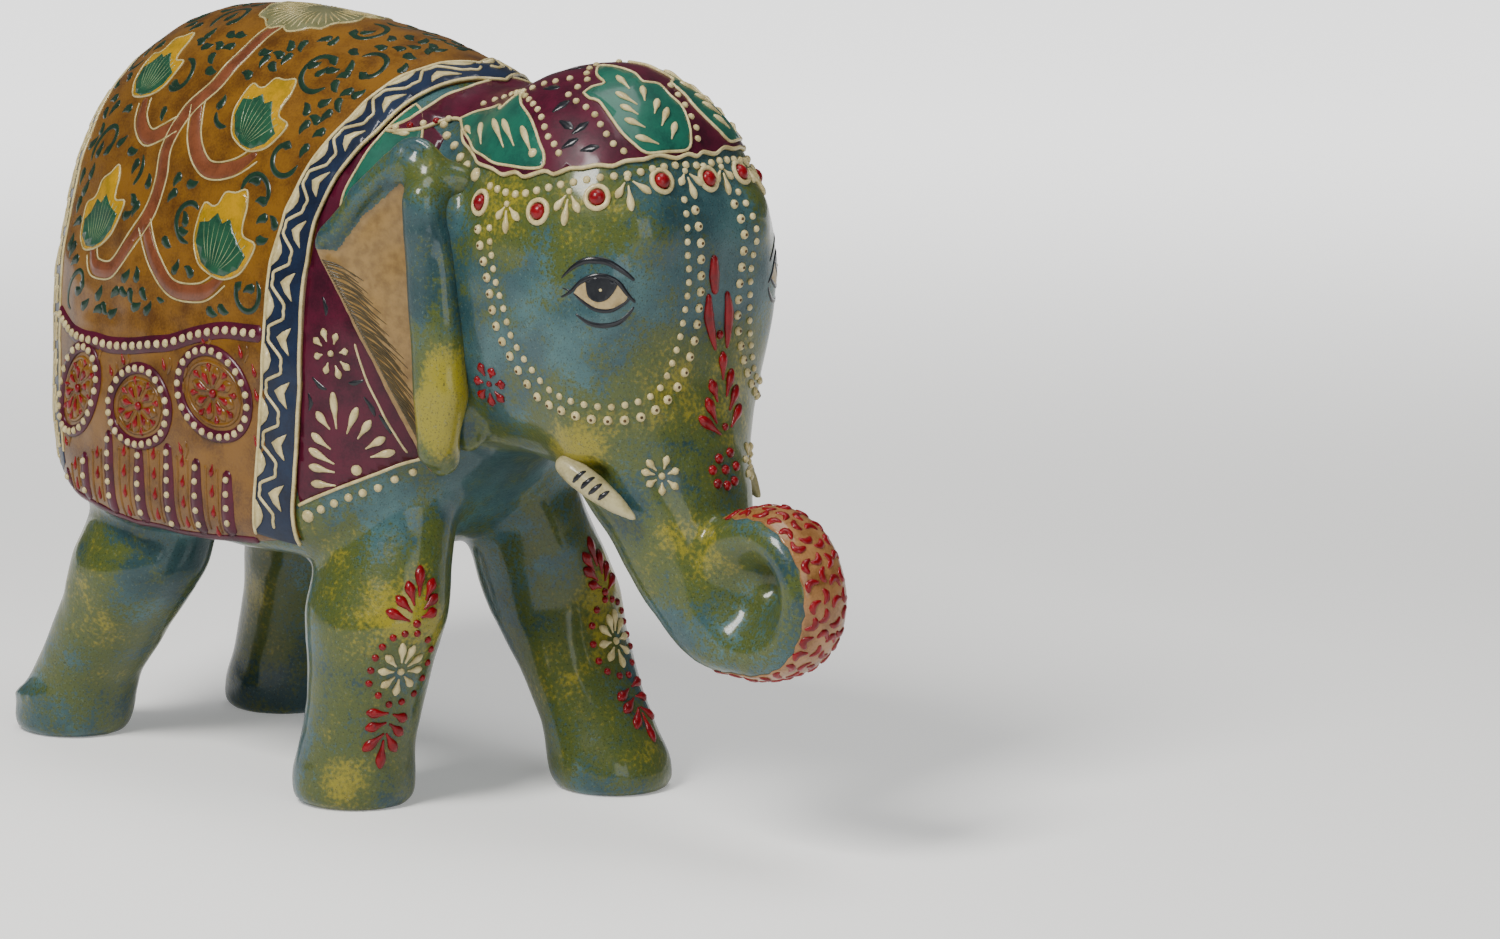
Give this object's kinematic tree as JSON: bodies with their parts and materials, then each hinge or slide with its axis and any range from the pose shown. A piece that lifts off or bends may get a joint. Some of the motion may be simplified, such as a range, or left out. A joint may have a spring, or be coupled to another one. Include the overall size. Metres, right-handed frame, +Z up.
{
  "type": "figurine",
  "caption": "Free-standing painted wooden elephant figurine, walking, with a rolled trunk, folded ears and a raised saddle cloth.",
  "frame": {"origin": "on the ground under the centre of the overall length and width", "axes": "+X forwards towards the rolled trunk, +Y to the elephant's left, +Z up"},
  "size_m": [0.3138, 0.1204, 0.2312],
  "materials": {
    "painted_wood": "varnished paint",
    "ivory_painted_wood": "varnished paint",
    "saddle_ground": "varnished paint on raised filler",
    "maroon_ground": "varnished paint on raised filler",
    "bare_wood": "bare"
  },
  "bodies": {
    "root": {"torso_right": "painted_wood", "torso_left": "painted_wood", "head": "painted_wood", "trunk": "painted_wood", "ear_right": "painted_wood", "ear_left": "painted_wood", "tusk_right": "ivory_painted_wood", "tusk_left": "ivory_painted_wood", "leg_front_right": "painted_wood", "leg_front_left": "painted_wood", "leg_rear_right": "painted_wood", "leg_rear_left": "painted_wood", "tail": "painted_wood", "saddle_cloth": "saddle_ground", "head_cloth": "maroon_ground", "body_dowels": "bare_wood", "neck_dowels": "bare_wood", "trunk_dowel": "bare_wood", "leg_dowel_front_right": "bare_wood", "leg_dowel_front_left": "bare_wood", "leg_dowel_rear_right": "bare_wood", "leg_dowel_rear_left": "bare_wood", "ear_peg_right": "bare_wood", "ear_peg_left": "bare_wood"}
  },
  "joints": []
}
